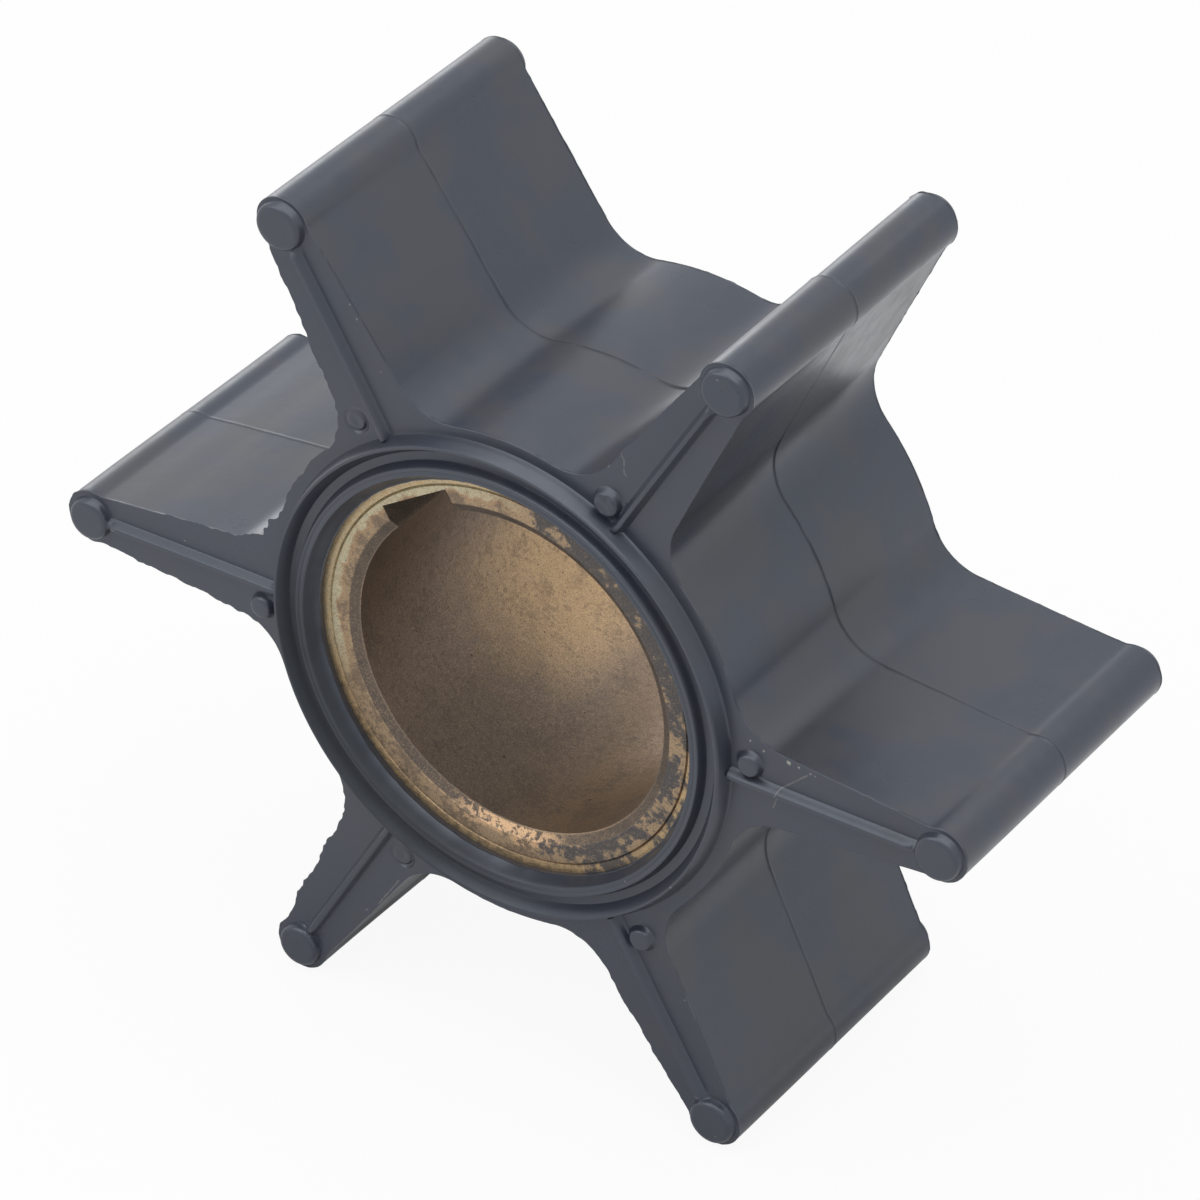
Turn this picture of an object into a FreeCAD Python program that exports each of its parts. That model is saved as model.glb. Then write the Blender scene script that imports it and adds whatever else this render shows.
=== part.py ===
import FreeCAD, Part
import math
import os
import re
import Sketcher
from FreeCAD import Vector

# Flexible pump impeller: a one-piece moulded rubber rotor bonded onto a keyed brass bush.
# Millimetres, +Z up. The axis of rotation is the Y axis and the origin is the middle of the
# bore, with the front face toward -Y. One vane points along +X and the others follow every
# 60 degrees, so that the rotor stands on the two that point down.

# Name, value and meaning of each driving size. Radial widths follow each other outward from the
# bore, each beginning where the one before it ends. Depths and heights are along the axis and
# are counted from the flat bead faces, which are rotor_width apart.
SIZES = [
    ("rotor_width", 20.0, "across the flat bead faces"),
    ("bore_radius", 9.525, "bore of the brass bush"),
    ("bush_wall", 2.175, "thickness of the brass bush"),
    ("lip_width", 0.42, "inner slope of the inner sealing ring, out from the brass"),
    ("inner_ring_land", 0.5, "flat on top of the inner sealing ring"),
    ("inner_ring_flank", 0.24, "outer slope of the inner sealing ring"),
    ("channel_width", 0.52, "floor of the channel between the sealing rings"),
    ("outer_ring_flank", 0.38, "inner slope of the outer sealing ring"),
    ("outer_ring_land", 0.16, "flat on top of the outer sealing ring"),
    ("shoulder_width", 0.33, "outer slope of the outer sealing ring, out to the rim of the hub end"),
    ("barrel_rim", 0.63, "from that rim out to the barrel wall between the vanes"),
    ("vane_reach", 11.72, "from the barrel wall to the centre line of the bead on a vane tip"),
    ("vane_count", 6, "vanes round the barrel"),
    ("bead_radius", 1.58, "round bead along each vane tip"),
    ("bead_face_radius", 1.3, "raised round face on each end of a bead"),
    ("neck_fillet", 1.0, "hollow between a bead and the vane flank"),
    ("station_rise", 2.82, "height above the barrel at which the inner vane thickness is taken"),
    ("flank_half", 2.26, "half the vane thickness at that height"),
    ("tip_half", 1.42, "half the vane thickness carried on to the bead centre line"),
    ("root_fillet", 3.35, "hollow between a vane flank and the barrel"),
    ("face_relief", 0.5, "depth of the vane and barrel ends"),
    ("flash_height", 0.07, "parting ridge round the middle of the rubber stands this proud"),
    ("flash_width", 0.2, "that ridge, along the axis"),
    ("inner_ring_height", 0.25, "height of the inner sealing ring"),
    ("lip_depth", 0.62, "depth at which that inner slope meets the bush"),
    ("channel_depth", 0.32, "depth of the channel between the sealing rings"),
    ("outer_ring_height", 0.42, "height of the outer sealing ring"),
    ("shoulder_depth", 0.6, "depth of the rim of the hub end, just under the vane ends"),
    ("rib_crest", 0.3, "width of the top of the rib along each vane end"),
    ("rib_base", 0.64, "width of the foot of that rib"),
    ("pin_rise", 0.45, "height above the barrel of the moulding pins on the vane roots"),
    ("pin_turn", 5.1, "degrees from a vane centre line to its moulding pin"),
    ("pin_radius", 0.7, "moulding pin left standing"),
    ("mark_radius", 0.75, "ring mark where a pin has sheared off flush"),
    ("mark_width", 0.2, "width of that ring mark"),
    ("mark_depth", 0.15, "depth of that ring mark below the vane end"),
    ("bush_recess", 0.85, "depth of the brass end faces"),
    ("bore_chamfer", 0.6, "bore chamfer, across its face"),
    ("bore_chamfer_depth", 0.35, "bore chamfer, along the axis"),
    ("score_inset", 0.5, "from the outside of the bush to the turned line on its end faces"),
    ("score_width", 0.14, "width of that line"),
    ("score_depth", 0.12, "depth of that line below the brass face"),
    ("key_width", 4.76, "width of the keyway"),
    ("key_depth", 1.135, "flat floor of the keyway, beyond the bore"),
    ("key_turn", 122.9, "degrees from +X to the middle of the keyway"),
]

# Places that follow from the sizes, in the order in which they build on each other.
PLACES = [
    ("bush_radius", "bore_radius + bush_wall", "outside of the bush, and bore of the rubber"),
    ("ring_inside", "bush_radius + lip_width", "inner edge of the flat on the inner ring"),
    ("ring_outside", "ring_inside + inner_ring_land", "outer edge of that flat"),
    ("channel_inside", "ring_outside + inner_ring_flank", "inner edge of the channel"),
    ("channel_outside", "channel_inside + channel_width", "outer edge of the channel"),
    ("crest_inside", "channel_outside + outer_ring_flank", "inner edge of the flat on the outer ring"),
    ("crest_outside", "crest_inside + outer_ring_land", "outer edge of that flat"),
    ("shoulder_radius", "crest_outside + shoulder_width", "rim of the hub end"),
    ("barrel_radius", "shoulder_radius + barrel_rim", "barrel wall between the vanes"),
    ("flank_station", "barrel_radius + station_rise", "where the inner vane thickness is taken"),
    ("tip_radius", "barrel_radius + vane_reach", "axis to the centre line of a bead"),
    ("pin_circle", "barrel_radius + pin_rise", "axis to the moulding pins"),
    ("score_radius", "bush_radius - score_inset", "axis to the turned line on the brass"),
    ("key_floor", "bore_radius + key_depth", "axis to the flat floor of the keyway"),
]
NAMES = [row[0] for row in SIZES + PLACES]
PINNED_VANES = (0, 1, 3, 5)
SHEARED_VANES = (2, 4)

# Heights above the middle plane that several profiles share.
BEAD_END = "rotor_width / 2"
VANE_END = "(rotor_width / 2 - face_relief)"
BRASS_END = "(rotor_width / 2 - bush_recess)"

START, END, CENTRE = 1, 2, 3
ORIGIN_POINT = (-1, 1)
X_AXIS = -1
UP = Vector(0, 0, 1)

doc = FreeCAD.newDocument("impeller")
sheet = doc.addObject("Spreadsheet::Sheet", "sizes")
formulas = [(name, "=" + formula, meaning) for name, formula, meaning in PLACES]
for row, (name, value, meaning) in enumerate(SIZES + formulas, start=1):
    sheet.set("A%d" % row, meaning)
    sheet.set("B%d" % row, str(value))
    sheet.setAlias("B%d" % row, name)
doc.recompute()


def bound(formula):
    """The formula with every size name pointing at its cell in the sheet."""
    return re.sub(r"[a-z_]+", lambda word: cell_of(word.group(0)), formula)


def cell_of(word):
    return "sizes." + word if word in NAMES else word


def value_of(formula):
    """What the formula comes to now, as a plain number."""
    result = sheet.evalExpression(bound(formula))
    return float(getattr(result, "Value", result))


def origin_feature(body, role):
    return next(part for part in body.Origin.OriginFeatures if part.Role == role)


def new_body(label):
    body = doc.addObject("PartDesign::Body", label)
    body.Label = label
    return body


def new_sketch(body, name, plane):
    sketch = body.newObject("Sketcher::SketchObject", name)
    sketch.AttachmentSupport = [(origin_feature(body, plane), "")]
    sketch.MapMode = "FlatFace"
    return sketch


def join(sketch, kind, *places):
    sketch.addConstraint(Sketcher.Constraint(kind, *places))


def measure(sketch, kind, formula, *places):
    """Add a driving dimension to the sketch and bind it to the sheet."""
    index = sketch.addConstraint(Sketcher.Constraint(kind, *places, value_of(formula)))
    sketch.setExpression("Constraints[%d]" % index, bound(formula))


def place_point(sketch, geometry, point, across, along):
    measure(sketch, "DistanceX", across, geometry, point)
    measure(sketch, "DistanceY", along, geometry, point)


def draw_outline(sketch, corners):
    """Closed outline of straight sides, anticlockwise, through corners given as formulas (x, y)."""
    places = [Vector(value_of(across), value_of(along), 0) for across, along in corners]
    for start, end in zip(places, places[1:] + places[:1]):
        sketch.addGeometry(Part.LineSegment(start, end), False)
    for index, (across, along) in enumerate(corners):
        join(sketch, "Coincident", index, END, (index + 1) % len(corners), START)
        place_point(sketch, index, START, across, along)


def draw_circle(sketch, across, along, radius):
    centre = Vector(value_of(across), value_of(along), 0)
    index = sketch.addGeometry(Part.Circle(centre, UP, value_of(radius)), False)
    place_point(sketch, index, CENTRE, across, along)
    measure(sketch, "Radius", radius, index)


def add_arc(sketch, centre, start, end):
    """Anticlockwise arc from start to end, as new sketch geometry."""
    first = math.atan2(start.y - centre.y, start.x - centre.x)
    last = math.atan2(end.y - centre.y, end.x - centre.x)
    circle = Part.Circle(centre, UP, (start - centre).Length)
    return sketch.addGeometry(Part.ArcOfCircle(circle, first, last), False)


def mirrored_ends(half):
    """A profile symmetric about the middle plane: the upper half, then its mirror image."""
    return half + [(radius, "-(%s)" % height) for radius, height in reversed(half)]


def revolve(body, name, corners):
    """Turn a profile about the Y axis. Corners are (radius, height above the middle plane)."""
    sketch = new_sketch(body, name + "_profile", "XY_Plane")
    draw_outline(sketch, corners)
    feature = body.newObject("PartDesign::Revolution", name)
    feature.Profile = sketch
    feature.ReferenceAxis = (sketch, ["V_Axis"])
    feature.Angle = 360
    return feature


def pad_both_ways(body, name, sketch, length):
    """Pad the sketch by half the length to each side of its plane."""
    feature = body.newObject("PartDesign::Pad", name)
    feature.Profile = sketch
    feature.SideType = "Symmetric"
    feature.setExpression("Length", bound(length))
    return feature


class VaneGuess:
    """Where the corners of a vane's upper outline lie, so that its sketch starts solved."""

    def __init__(self, growth):
        self.tip = value_of("tip_radius")
        self.bead = value_of("bead_radius" + growth)
        self.barrel = value_of("barrel_radius" + growth)
        self.root = value_of("root_fillet - (0 %s)" % growth)
        self.neck = value_of("neck_fillet - (0 %s)" % growth)
        self.tip_half = value_of("tip_half" + growth)
        station = value_of("flank_station")
        self.slope = (self.tip_half - value_of("flank_half" + growth)) / (self.tip - station)
        lean = math.atan(self.slope)
        self.rise = 1 / math.cos(lean)
        toward_vane = Vector(math.sin(lean), -math.cos(lean), 0)
        side = math.pi / value_of("vane_count")
        direction = Vector(math.cos(side), math.sin(side), 0)
        self.side_in = direction * value_of("channel_inside")
        self.side_out = direction * self.barrel
        self.bead_centre = Vector(self.tip, 0, 0)
        self.root_centre = self.beside_flank(self.root, 0, self.barrel + self.root, 1)
        self.neck_centre = self.beside_flank(self.neck, self.tip, self.bead + self.neck, -1)
        self.root_foot = self.root_centre * (self.barrel / self.root_centre.Length)
        self.root_top = self.root_centre + toward_vane * self.root
        self.neck_foot = self.neck_centre + toward_vane * self.neck
        reach = self.neck_centre - self.bead_centre
        self.neck_top = self.bead_centre + reach * (self.bead / reach.Length)

    def beside_flank(self, gap, centre_x, distance, sense):
        """The point a gap off the flank and a distance from a point of the vane's own axis."""
        height = self.tip_half + self.slope * (centre_x - self.tip) + gap * self.rise
        quadratic = 1 + self.slope**2
        linear = self.slope * height
        spread = math.sqrt(linear**2 - quadratic * (height**2 - distance**2))
        along = (sense * spread - linear) / quadratic
        return Vector(centre_x + along, height + self.slope * along, 0)


def flipped(place, sign):
    """The place itself, or its mirror image across the vane's own axis where sign is -1."""
    return Vector(place.x, place.y * sign, 0)


def draw_vane(sketch, growth):
    """One vane with its share of the barrel, a slice that repeats round the axis: bead, neck
    hollows, tapered flanks, root hollows and barrel wall run tangent into each other. The
    growth formula is added outward all round the outside."""
    guess = VaneGuess(growth)
    core = add_arc(sketch, Vector(), flipped(guess.side_in, -1), guess.side_in)
    bead = add_arc(sketch, guess.bead_centre, flipped(guess.neck_top, -1), guess.neck_top)
    for sign in (1, -1):
        # An arc below the vane's axis runs the other way from its mirror image above.
        near, far = (START, END) if sign > 0 else (END, START)
        spots = [
            flipped(place, sign)
            for place in (guess.side_in, guess.side_out, guess.root_foot, guess.root_top,
                          guess.neck_foot, guess.neck_top)]
        side = sketch.addGeometry(Part.LineSegment(spots[0], spots[1]), False)
        wall = add_arc(sketch, Vector(), *(spots[2], spots[1])[::sign])
        root = add_arc(sketch, flipped(guess.root_centre, sign), *(spots[2], spots[3])[::sign])
        flank = sketch.addGeometry(Part.LineSegment(spots[3], spots[4]), False)
        neck = add_arc(sketch, flipped(guess.neck_centre, sign), *(spots[4], spots[5])[::sign])
        join(sketch, "Coincident", core, far, side, START)
        join(sketch, "Coincident", side, END, wall, far)
        join(sketch, "Tangent", wall, near, root, near)
        join(sketch, "Tangent", root, far, flank, START)
        join(sketch, "Tangent", flank, END, neck, near)
        join(sketch, "Tangent", neck, far, bead, far)
        join(sketch, "Coincident", wall, CENTRE, *ORIGIN_POINT)
        join(sketch, "PointOnObject", *ORIGIN_POINT, side)
        side_height = "%d * (barrel_radius %s) * sin(180 / vane_count)" % (sign, growth)
        measure(sketch, "DistanceY", side_height, side, END)
        measure(sketch, "Radius", "barrel_radius" + growth, wall)
        measure(sketch, "Radius", "root_fillet - (0 %s)" % growth, root)
        measure(sketch, "Radius", "neck_fillet - (0 %s)" % growth, neck)
        for station, half in (("flank_station", "flank_half"), ("tip_radius", "tip_half")):
            height = "%d * (%s %s)" % (sign, half, growth)
            gauge = Part.Point(Vector(value_of(station), value_of(height), 0))
            gauge_point = sketch.addGeometry(gauge, True)
            place_point(sketch, gauge_point, START, station, height)
            join(sketch, "PointOnObject", gauge_point, START, flank)
    join(sketch, "Coincident", core, CENTRE, *ORIGIN_POINT)
    measure(sketch, "Radius", "channel_inside", core)
    join(sketch, "PointOnObject", bead, CENTRE, X_AXIS)
    measure(sketch, "DistanceX", "tip_radius", bead, CENTRE)
    measure(sketch, "Radius", "bead_radius" + growth, bead)


def hub_core():
    """The turned middle of the rubber: its bore on the bush and both ends with their rings."""
    outer_top = "rotor_width / 2 + outer_ring_height"
    inner_top = "rotor_width / 2 + inner_ring_height"
    channel = "rotor_width / 2 - channel_depth"
    return mirrored_ends([
        ("shoulder_radius", "rotor_width / 2 - shoulder_depth"),
        ("crest_outside", outer_top),
        ("crest_inside", outer_top),
        ("channel_outside", channel),
        ("channel_inside", channel),
        ("ring_outside", inner_top),
        ("ring_inside", inner_top),
        ("bush_radius", "rotor_width / 2 - lip_depth"),
    ])


def vane_place(vane, turn):
    """Formulas for a place on the pin circle, turned from the centre line of a vane."""
    angle = "(%d * 360 / vane_count + %s)" % (vane, turn)
    return "pin_circle * cos%s" % angle, "pin_circle * sin%s" % angle


def build_rotor():
    body = new_body("rubber_rotor")
    revolve(body, "hub_core", hub_core())

    vane_sketch = new_sketch(body, "vane_outline", "XZ_Plane")
    draw_vane(vane_sketch, "")
    vane = pad_both_ways(body, "vane", vane_sketch, "2 * " + VANE_END)

    ridge_sketch = new_sketch(body, "parting_outline", "XZ_Plane")
    draw_vane(ridge_sketch, " + flash_height")
    ridge = pad_both_ways(body, "parting_ridge", ridge_sketch, "flash_width")

    face_sketch = new_sketch(body, "bead_face_outline", "XZ_Plane")
    draw_circle(face_sketch, "tip_radius", "0", "bead_face_radius")
    bead_faces = pad_both_ways(body, "bead_faces", face_sketch, "rotor_width")

    # The rib's section lies across the vane and shows at both of its ends.
    rib_sketch = new_sketch(body, "rib_section", "YZ_Plane")
    rib_sketch.setExpression("AttachmentOffset.Base.z", bound("crest_outside"))
    draw_outline(rib_sketch, [
        (BEAD_END, "-rib_crest / 2"),
        (BEAD_END, "rib_crest / 2"),
        (VANE_END, "rib_base / 2"),
        ("-" + VANE_END, "rib_base / 2"),
        ("-" + BEAD_END, "rib_crest / 2"),
        ("-" + BEAD_END, "-rib_crest / 2"),
        ("-" + VANE_END, "-rib_base / 2"),
        (VANE_END, "-rib_base / 2"),
    ])
    rib = body.newObject("PartDesign::Pad", "rib")
    rib.Profile = rib_sketch
    rib.setExpression("Length", bound("tip_radius - crest_outside"))

    vanes = body.newObject("PartDesign::PolarPattern", "vanes")
    vanes.Originals = [vane, ridge, bead_faces, rib]
    vanes.Axis = (origin_feature(body, "Y_Axis"), [""])
    vanes.Angle = 360
    vanes.setExpression("Occurrences", bound("vane_count"))
    body.Tip = vanes

    pin_sketch = new_sketch(body, "pin_outlines", "XZ_Plane")
    for number in PINNED_VANES:
        draw_circle(pin_sketch, *vane_place(number, "pin_turn"), "pin_radius")
    pad_both_ways(body, "moulding_pins", pin_sketch, "rotor_width")

    mark_sketch = new_sketch(body, "mark_outlines", "XZ_Plane")
    mark_sketch.setExpression("AttachmentOffset.Base.z", bound(VANE_END))
    for number in SHEARED_VANES:
        place = vane_place(number, "pin_turn")
        draw_circle(mark_sketch, *place, "mark_radius")
        draw_circle(mark_sketch, *place, "mark_radius - mark_width")
    marks = body.newObject("PartDesign::Pocket", "ring_marks")
    marks.Profile = mark_sketch
    marks.setExpression("Length", bound("mark_depth"))
    far_marks = body.newObject("PartDesign::Mirrored", "far_ring_marks")
    far_marks.Originals = [marks]
    far_marks.MirrorPlane = (origin_feature(body, "XZ_Plane"), [""])
    body.Tip = far_marks
    return body


def build_bush():
    body = new_body("brass_hub_bush")
    revolve(body, "turned_bush", mirrored_ends([
        ("bush_radius", BRASS_END),
        ("score_radius + score_width / 2", BRASS_END),
        ("score_radius", BRASS_END + " - score_depth"),
        ("score_radius - score_width / 2", BRASS_END),
        ("bore_radius + bore_chamfer", BRASS_END),
        ("bore_radius", BRASS_END + " - bore_chamfer_depth"),
    ]))
    key_sketch = new_sketch(body, "keyway_outline", "XZ_Plane")
    key_turn = FreeCAD.Rotation(UP, value_of("key_turn"))
    key_sketch.AttachmentOffset = FreeCAD.Placement(Vector(), key_turn)
    key_sketch.setExpression("AttachmentOffset.Rotation.Angle", bound("key_turn"))
    draw_outline(key_sketch, [
        ("0", "-key_width / 2"),
        ("key_floor", "-key_width / 2"),
        ("key_floor", "key_width / 2"),
        ("0", "key_width / 2"),
    ])
    keyway = body.newObject("PartDesign::Pocket", "keyway")
    keyway.Profile = key_sketch
    keyway.SideType = "Symmetric"
    keyway.setExpression("Length", bound("2 * rotor_width"))
    return body


def check_document():
    for item in doc.Objects:
        broken = {"Invalid", "Error"} & set(item.State)
        if broken:
            raise RuntimeError("%s is %s" % (item.Name, ", ".join(sorted(broken))))


def check_cut(body, before, after):
    """A cut must have taken something off."""
    if doc.getObject(after).Shape.Volume >= doc.getObject(before).Shape.Volume:
        raise RuntimeError("%s cuts nothing in %s" % (after, body.Label))


bodies = [build_rotor(), build_bush()]
doc.recompute()
check_document()
check_cut(bodies[0], "moulding_pins", "ring_marks")
check_cut(bodies[1], "turned_bush", "keyway")
os.makedirs("parts", exist_ok=True)
for body in bodies:
    shape = body.Shape
    if shape.isNull() or not shape.isValid() or len(shape.Solids) != 1:
        raise RuntimeError("%s is not one valid solid" % body.Label)
    shape.exportStep("parts/%s.step" % body.Label)
    print(body.Label, "volume %.1f" % shape.Volume, shape.BoundBox)
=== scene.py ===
import math

import bmesh
import bpy
import numpy as np
from mathutils import Matrix, Vector, noise
from mathutils.geometry import delaunay_2d_cdt


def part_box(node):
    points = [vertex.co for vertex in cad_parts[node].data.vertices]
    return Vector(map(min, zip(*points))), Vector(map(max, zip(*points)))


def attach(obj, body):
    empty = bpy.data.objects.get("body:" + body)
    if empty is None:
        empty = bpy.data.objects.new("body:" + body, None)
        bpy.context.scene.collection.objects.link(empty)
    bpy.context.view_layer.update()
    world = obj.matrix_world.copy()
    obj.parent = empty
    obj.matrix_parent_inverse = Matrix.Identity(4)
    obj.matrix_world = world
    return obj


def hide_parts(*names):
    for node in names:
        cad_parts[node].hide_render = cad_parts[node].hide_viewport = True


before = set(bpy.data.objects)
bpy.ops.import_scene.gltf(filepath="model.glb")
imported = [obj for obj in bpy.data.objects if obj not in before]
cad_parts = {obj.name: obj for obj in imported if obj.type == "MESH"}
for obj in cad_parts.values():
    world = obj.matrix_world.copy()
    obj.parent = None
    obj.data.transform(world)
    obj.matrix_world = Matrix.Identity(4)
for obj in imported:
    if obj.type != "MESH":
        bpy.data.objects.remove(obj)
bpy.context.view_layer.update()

# Sizes are millimetres in the object's own frame: the bore runs along Y, the front face looks
# toward -Y, and the vanes point along 0, 60, 120 ... 300 degrees, turned from +X toward +Z.
MM = 0.001
VANES = 6
SECTOR = math.tau / VANES

# Overall places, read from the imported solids
rotor_low, rotor_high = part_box("rubber_rotor")
bush_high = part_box("brass_hub_bush")[1]
BUSH_RADIUS = bush_high.x / MM
BRASS_END = bush_high.y / MM
RING_TOP = rotor_high.y / MM
REACH = rotor_high.x / MM
FLOOR = rotor_low.z / MM

# Outline of the rotor
PARTING_HEIGHT = 0.07
BEAD_RADIUS = 1.58
TIP_RADIUS = REACH - PARTING_HEIGHT - BEAD_RADIUS
NECK_FILLET = 1.0
TIP_HALF = 1.42
FLANK_HALF = 2.26
FLANK_STATION = 17.7
ROOT_FILLET = 3.35
BARREL_RADIUS = 14.88
OUTLINE_STEP = 0.17

# The mould left slow waves in its walls. A wave is its share, the length of its features and a seed.
WALL_HEIGHT = 0.022
WALL_WAVES = [(1.0, 2.6, 31.0), (0.4, 1.1, 33.0)]

# Heights along the axis
OUTER_RING_HEIGHT = 0.42
INNER_RING_HEIGHT = 0.25
BEAD_END = RING_TOP - OUTER_RING_HEIGHT
VANE_RELIEF = 0.5
VANE_END = BEAD_END - VANE_RELIEF
CHANNEL_DEPTH = 0.26
LIP_DEPTH = 0.62

# Hub end from the brass outward: radius, and depth below the bead ends
HUB_PROFILE = [
    (BUSH_RADIUS, LIP_DEPTH),
    (12.12, -INNER_RING_HEIGHT),
    (12.34, -INNER_RING_HEIGHT),
    (12.39, -0.19),
    (12.44, -INNER_RING_HEIGHT),
    (12.62, -INNER_RING_HEIGHT),
    (12.84, CHANNEL_DEPTH),
    (13.34, CHANNEL_DEPTH),
    (13.76, -OUTER_RING_HEIGHT),
    (13.92, -OUTER_RING_HEIGHT),
    (14.22, VANE_RELIEF),
    (14.80, VANE_RELIEF),
]
HUB_ROUNDING = 0.12
HUB_CIRCLES = 44
HUB_SPOKES = 320
# The rings came out of the mould a little aside, and the lip hangs over the brass
RING_SHIFT = 0.11
RING_SHIFT_HEADING = math.radians(140)
RING_SHIFT_FADE = (13.9, 14.7)
LIP_OVERHANG = 0.10
LIP_OUTSIDE = 12.1
LIP_LEVEL = 0.5
LIP_WAVES = [(0.6, 2.2, 3.3), (0.5, 0.6, 7.7)]

# Raised details on the vane ends: across, and share of the bead relief
RIB_PROFILE = [(0.0, 0.92), (0.13, 0.92), (0.36, 0.0), (0.50, 0.0)]
RIB_ROUNDING = 0.17
RIB_START = 14.06
RIB_START_SLOPE = 0.12
# Each rib dips where it meets the round face of the bead
NOTCH_HEIGHT = 0.72
NOTCH_SLOPE = 0.15
DISC_PROFILE = [(0.0, 1.0), (1.15, 1.0), (1.23, 0.88), (1.30, 0.80), (1.37, 0.0), (1.45, 0.0)]
DISC_ROUNDING = 0.15
DISC_SIZES = [1.0, 1.0, 1.02, 0.92, 0.93, 0.985]
PIN_PROFILE = [(0.0, 0.86), (0.60, 0.86), (0.76, 0.0), (0.92, 0.0)]
PIN_ROUNDING = 0.26
MARK_PROFILE = [(0.0, -0.10), (0.14, -0.10), (0.26, 0.0), (0.50, 0.0), (0.60, -0.30), (0.68, -0.30),
                (0.80, 0.0), (0.90, 0.0)]
MARK_ROUNDING = 0.10
# The marks are pressed in deeper on one side
MARK_HEADING = math.radians(330)
MARK_SHALLOW = 0.25
MARK_TURN = (-0.5, 0.7)
# Vane: distance out along it, across it, and size
PINS = {0: (15.29, 1.08, 1.0), 1: (15.12, 1.20, 1.12), 3: (15.31, 1.39, 1.0), 5: (15.60, 1.20, 1.0)}
MARKS = {2: (15.49, 1.55, 1.0), 4: (15.55, 1.42, 1.0)}

# How far each vane leans at its tip, turning from +X toward +Z, at the front and the back end
LEAN = {0: (0.09, 0.21), 1: (-0.15, -0.05), 2: (0.28, -0.06), 3: (0.20, 0.47), 4: (-0.02, 0.21),
        5: (0.15, 0.0)}
LEAN_FROM = 15.0
LEAN_POWER = 1.6

# Flash left by the mould at the edges of the end faces
FLASH_LEAST = 0.01
FLASH_TEETH = 0.045
FLASH_LOW_SHARE = 0.2
FLASH_SEEDS = (1.7, 21.3)
TEETH_WAVES = [(1.6, 0.5, 0.0), (1.1, 0.3, 3.0)]
STRETCH_WAVES = [(1.0, 4.5, 7.0)]
STRETCH_RAMP = (-0.35, 0.35)
PATCH_WAVES = [(0.8, 1.3, 11.0), (1.0, 0.42, 12.0)]
PATCH_LEVEL = 0.45
PATCH_SOFT = 0.4
FLASH_PATCHES = [
    # vane, distance out along the vane from and to, side of the vane, extra width
    (2, 16.5, 25.5, 1, 0.13),
    (2, 12.5, 16.5, 1, 0.16),
    (3, 12.5, 14.2, -1, 0.18),
    (3, 14.2, 16.6, -1, 0.42),
    (3, 16.6, 22.0, -1, 0.12),
    (3, 15.5, 24.0, 1, 0.15),
    (4, 15.0, 24.5, -1, 0.15),
    (5, 16.0, 24.5, -1, 0.12),
]


def lerp(low, high, share):
    """The value a share of the way from low to high."""
    return low + (high - low) * share


def ramp(value, low, high):
    """0 below low, 1 above high and a soft step between them."""
    share = np.clip((value - low) / (high - low), 0, 1)
    return share * share * (3 - 2 * share)


def round_wave(angles, radius, length, seed):
    """Smooth noise from -1 to 1 round a circle, with features of about a length."""
    size = radius / length
    places = zip(size * np.cos(angles), size * np.sin(angles))
    return np.array([noise.noise(Vector((first, second, seed))) for first, second in places])


class Profile:
    """Height over distance, from corners that are rounded off."""

    FINE = 0.004
    BEND_WEIGHT = 0.16

    def __init__(self, corners, rounding):
        across, height = np.array(corners).T
        self.start, self.end = across[0], across[-1]
        margin = np.arange(self.start - rounding, self.end + rounding, self.FINE)
        raw = np.interp(margin, across, height)
        window = np.hanning(max(3, int(rounding / self.FINE)))
        smooth = np.convolve(raw, window / window.sum(), "same")
        inside = (margin >= self.start) & (margin <= self.end)
        self.across = margin[inside]
        self.height = smooth[inside]

    def at(self, distance):
        return np.interp(distance, self.across, self.height)

    def places(self, count):
        """Distances at which lines follow the profile, closer together where it bends."""
        step = np.gradient(self.across)
        rise = np.gradient(self.height)
        turning = np.abs(np.gradient(np.arctan2(rise, step)))
        effort = np.cumsum(np.hypot(step, rise) + self.BEND_WEIGHT * turning)
        found = np.interp(np.linspace(effort[0], effort[-1], count), effort, self.across)
        found[0], found[-1] = self.start, self.end
        return found


# Outline of the rotor, seen from the front

def beside_flank(gap, slope, centre, distance, sense):
    """Centre of a hollow that lies a gap off the flank and a distance from a point of the
    vane's own line."""
    height = TIP_HALF + slope * (centre - TIP_RADIUS) + gap * math.hypot(1, slope)
    quadratic = 1 + slope**2
    linear = slope * height
    spread = math.sqrt(linear**2 - quadratic * (height**2 - distance**2))
    along = (sense * spread - linear) / quadratic
    return np.array([centre + along, height + slope * along])


def arc_points(centre, start, end, clockwise=False):
    """Points from start up to, not including, end on an arc about the centre."""
    first = math.atan2(*(start - centre)[::-1])
    turn = (math.atan2(*(end - centre)[::-1]) - first) % math.tau
    if clockwise:
        turn -= math.tau
    radius = np.hypot(*(start - centre))
    count = max(2, round(abs(turn) * radius / OUTLINE_STEP))
    angles = first + turn * np.arange(count) / count
    return centre + radius * np.column_stack([np.cos(angles), np.sin(angles)])


def line_points(start, end):
    """Points from start up to, not including, end on a straight line."""
    count = max(2, round(np.hypot(*(end - start)) / OUTLINE_STEP))
    return start + (end - start) * (np.arange(count) / count)[:, None]


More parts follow.
